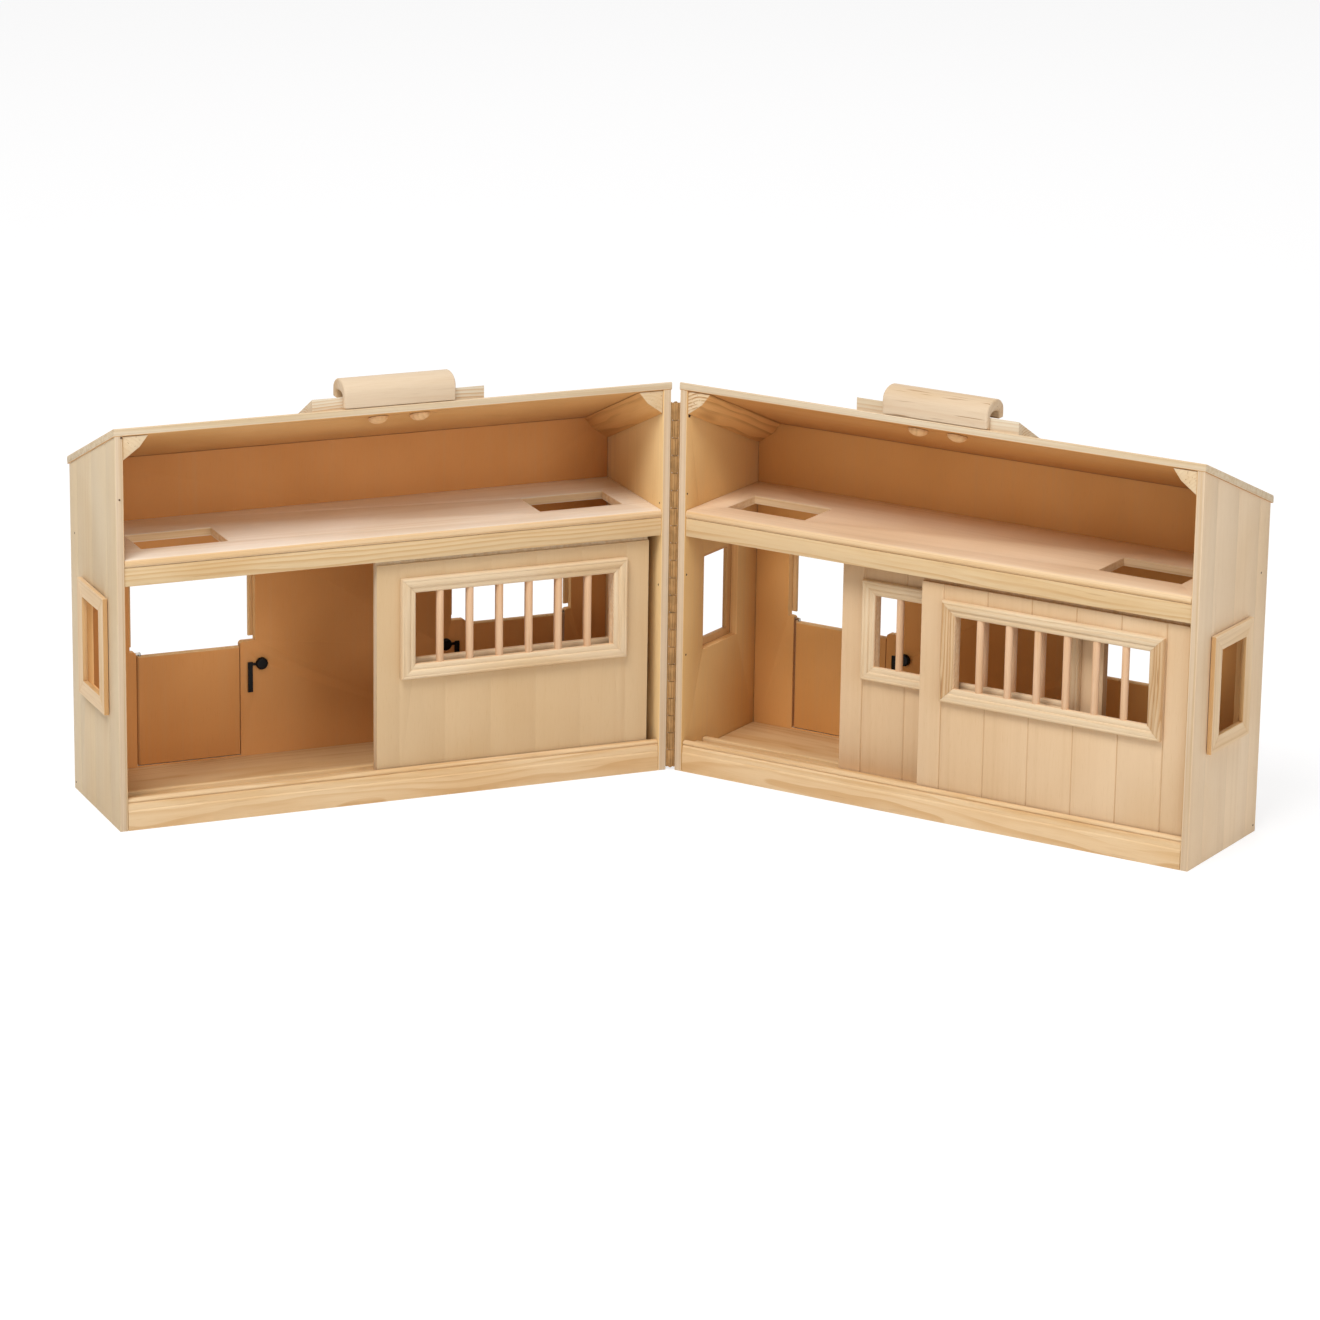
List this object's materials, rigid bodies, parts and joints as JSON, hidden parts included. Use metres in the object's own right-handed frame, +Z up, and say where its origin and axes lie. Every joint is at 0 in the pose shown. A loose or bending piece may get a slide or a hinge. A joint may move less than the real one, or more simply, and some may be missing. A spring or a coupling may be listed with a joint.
{
  "type": "fold-up toy barn with opening doors",
  "caption": "Wooden toy barn in two hinged halves that fold into one, with hay loft, sliding barred doors, half doors, latches and carrying grips.",
  "frame": {"origin": "on the ground, below the middle of the bounding box of the barn as it stands open in the picture", "axes": "+X to the right and +Y to the back, seen from the open fronts; +Z up; the fold hinge stands in the plane X = 0"},
  "size_m": [0.7358, 0.2516, 0.2689],
  "materials": {
    "board": "pale smooth plywood, clear satin",
    "pine": "yellowish clear pine, satin",
    "handle_wood": "pale smooth wood, satin",
    "black_metal": "black, semi-gloss",
    "brass": "aged brass, satin",
    "steel": "plain bright steel"
  },
  "bodies": {
    "left_barn": {"left_hinge_end_wall": "board", "left_far_end_wall": "board", "left_outer_wall": "board", "left_roof_panel": "board", "left_ground_floor": "board", "left_front_rail": "pine", "left_loft_floor": "board", "left_loft_beam": "pine", "left_hinge_corner_block": "pine", "left_far_corner_block": "pine", "left_hinge_window_frame": "pine", "left_far_window_frame": "pine", "left_handle_plank": "handle_wood", "left_handle_grip": "handle_wood", "left_handle_plug_1": "handle_wood", "left_handle_plug_2": "handle_wood", "left_near_hatch_casing": "pine", "left_far_hatch_casing": "pine", "left_near_pivot_wire": "steel", "left_far_pivot_wire": "steel", "left_hinge_leaf": "brass", "left_hinge_pin": "brass"},
    "left_front_door": {"left_front_door_panel": "board", "left_front_door_grille": "pine"},
    "left_rear_door": {"left_rear_door_panel": "board", "left_rear_door_grille": "pine"},
    "left_near_half_door": {"left_near_half_door": "board"},
    "left_near_turn_latch": {"left_near_turn_latch": "black_metal"},
    "left_far_half_door": {"left_far_half_door": "board"},
    "left_far_turn_latch": {"left_far_turn_latch": "black_metal"},
    "right_barn": {"right_hinge_end_wall": "board", "right_far_end_wall": "board", "right_outer_wall": "board", "right_roof_panel": "board", "right_ground_floor": "board", "right_front_rail": "pine", "right_loft_floor": "board", "right_loft_beam": "pine", "right_hinge_corner_block": "pine", "right_far_corner_block": "pine", "right_hinge_window_frame": "pine", "right_far_window_frame": "pine", "right_handle_plank": "handle_wood", "right_handle_grip": "handle_wood", "right_handle_plug_1": "handle_wood", "right_handle_plug_2": "handle_wood", "right_near_hatch_casing": "pine", "right_far_hatch_casing": "pine", "right_near_pivot_wire": "steel", "right_far_pivot_wire": "steel", "right_hinge_leaf": "brass"},
    "right_front_door": {"right_front_door_panel": "board", "right_front_door_grille": "pine"},
    "right_rear_door": {"right_rear_door_panel": "board", "right_rear_door_grille": "pine"},
    "right_near_half_door": {"right_near_half_door": "board"},
    "right_near_turn_latch": {"right_near_turn_latch": "black_metal"},
    "right_far_half_door": {"right_far_half_door": "board"},
    "right_far_turn_latch": {"right_far_turn_latch": "black_metal"}
  },
  "joints": [
    {"name": "fold_hinge", "type": "hinge", "parent": "left_barn", "child": "right_barn", "pos_m": [0, 0.04011, 0], "axis": [0, 0, 1], "range_deg": [-125.6, 49]},
    {"name": "left_front_door_slide", "type": "slide", "parent": "left_barn", "child": "left_front_door", "axis": [-0.8894, -0.4571, 0], "range_m": [-0.0059, 0.1617]},
    {"name": "left_rear_door_slide", "type": "slide", "parent": "left_barn", "child": "left_rear_door", "axis": [-0.8894, -0.4571, 0], "range_m": [-0.0009, 0.1667]},
    {"name": "left_near_half_door_swing", "type": "hinge", "parent": "left_barn", "child": "left_near_half_door", "pos_m": [-0.07719, 0.10411, 0.046], "axis": [0, 0, -1], "range_deg": [0, 90]},
    {"name": "left_near_latch_turn", "type": "hinge", "parent": "left_barn", "child": "left_near_turn_latch", "pos_m": [-0.14859, 0.07022, 0.07], "axis": [0.4571, -0.8894, 0], "range_deg": [0, 90]},
    {"name": "left_far_half_door_swing", "type": "hinge", "parent": "left_barn", "child": "left_far_half_door", "pos_m": [-0.32747, -0.02452, 0.046], "axis": [0, 0, 1], "range_deg": [0, 90]},
    {"name": "left_far_latch_turn", "type": "hinge", "parent": "left_barn", "child": "left_far_turn_latch", "pos_m": [-0.25835, 0.01381, 0.07], "axis": [-0.4571, 0.8894, 0], "range_deg": [0, 90]},
    {"name": "right_front_door_slide", "type": "slide", "parent": "right_barn", "child": "right_front_door", "axis": [0.8894, -0.4571, 0], "range_m": [-0.166, 0.0016]},
    {"name": "right_rear_door_slide", "type": "slide", "parent": "right_barn", "child": "right_rear_door", "axis": [0.8894, -0.4571, 0], "range_m": [-0.1028, 0.0648]},
    {"name": "right_near_half_door_swing", "type": "hinge", "parent": "right_barn", "child": "right_near_half_door", "pos_m": [0.07719, 0.10411, 0.046], "axis": [0, 0, 1], "range_deg": [0, 90]},
    {"name": "right_near_latch_turn", "type": "hinge", "parent": "right_barn", "child": "right_near_turn_latch", "pos_m": [0.14859, 0.07022, 0.07], "axis": [0.4571, 0.8894, 0], "range_deg": [0, 90]},
    {"name": "right_far_half_door_swing", "type": "hinge", "parent": "right_barn", "child": "right_far_half_door", "pos_m": [0.32747, -0.02452, 0.046], "axis": [0, 0, -1], "range_deg": [0, 90]},
    {"name": "right_far_latch_turn", "type": "hinge", "parent": "right_barn", "child": "right_far_turn_latch", "pos_m": [0.25835, 0.01381, 0.07], "axis": [-0.4571, -0.8894, 0], "range_deg": [0, 90]}
  ]
}
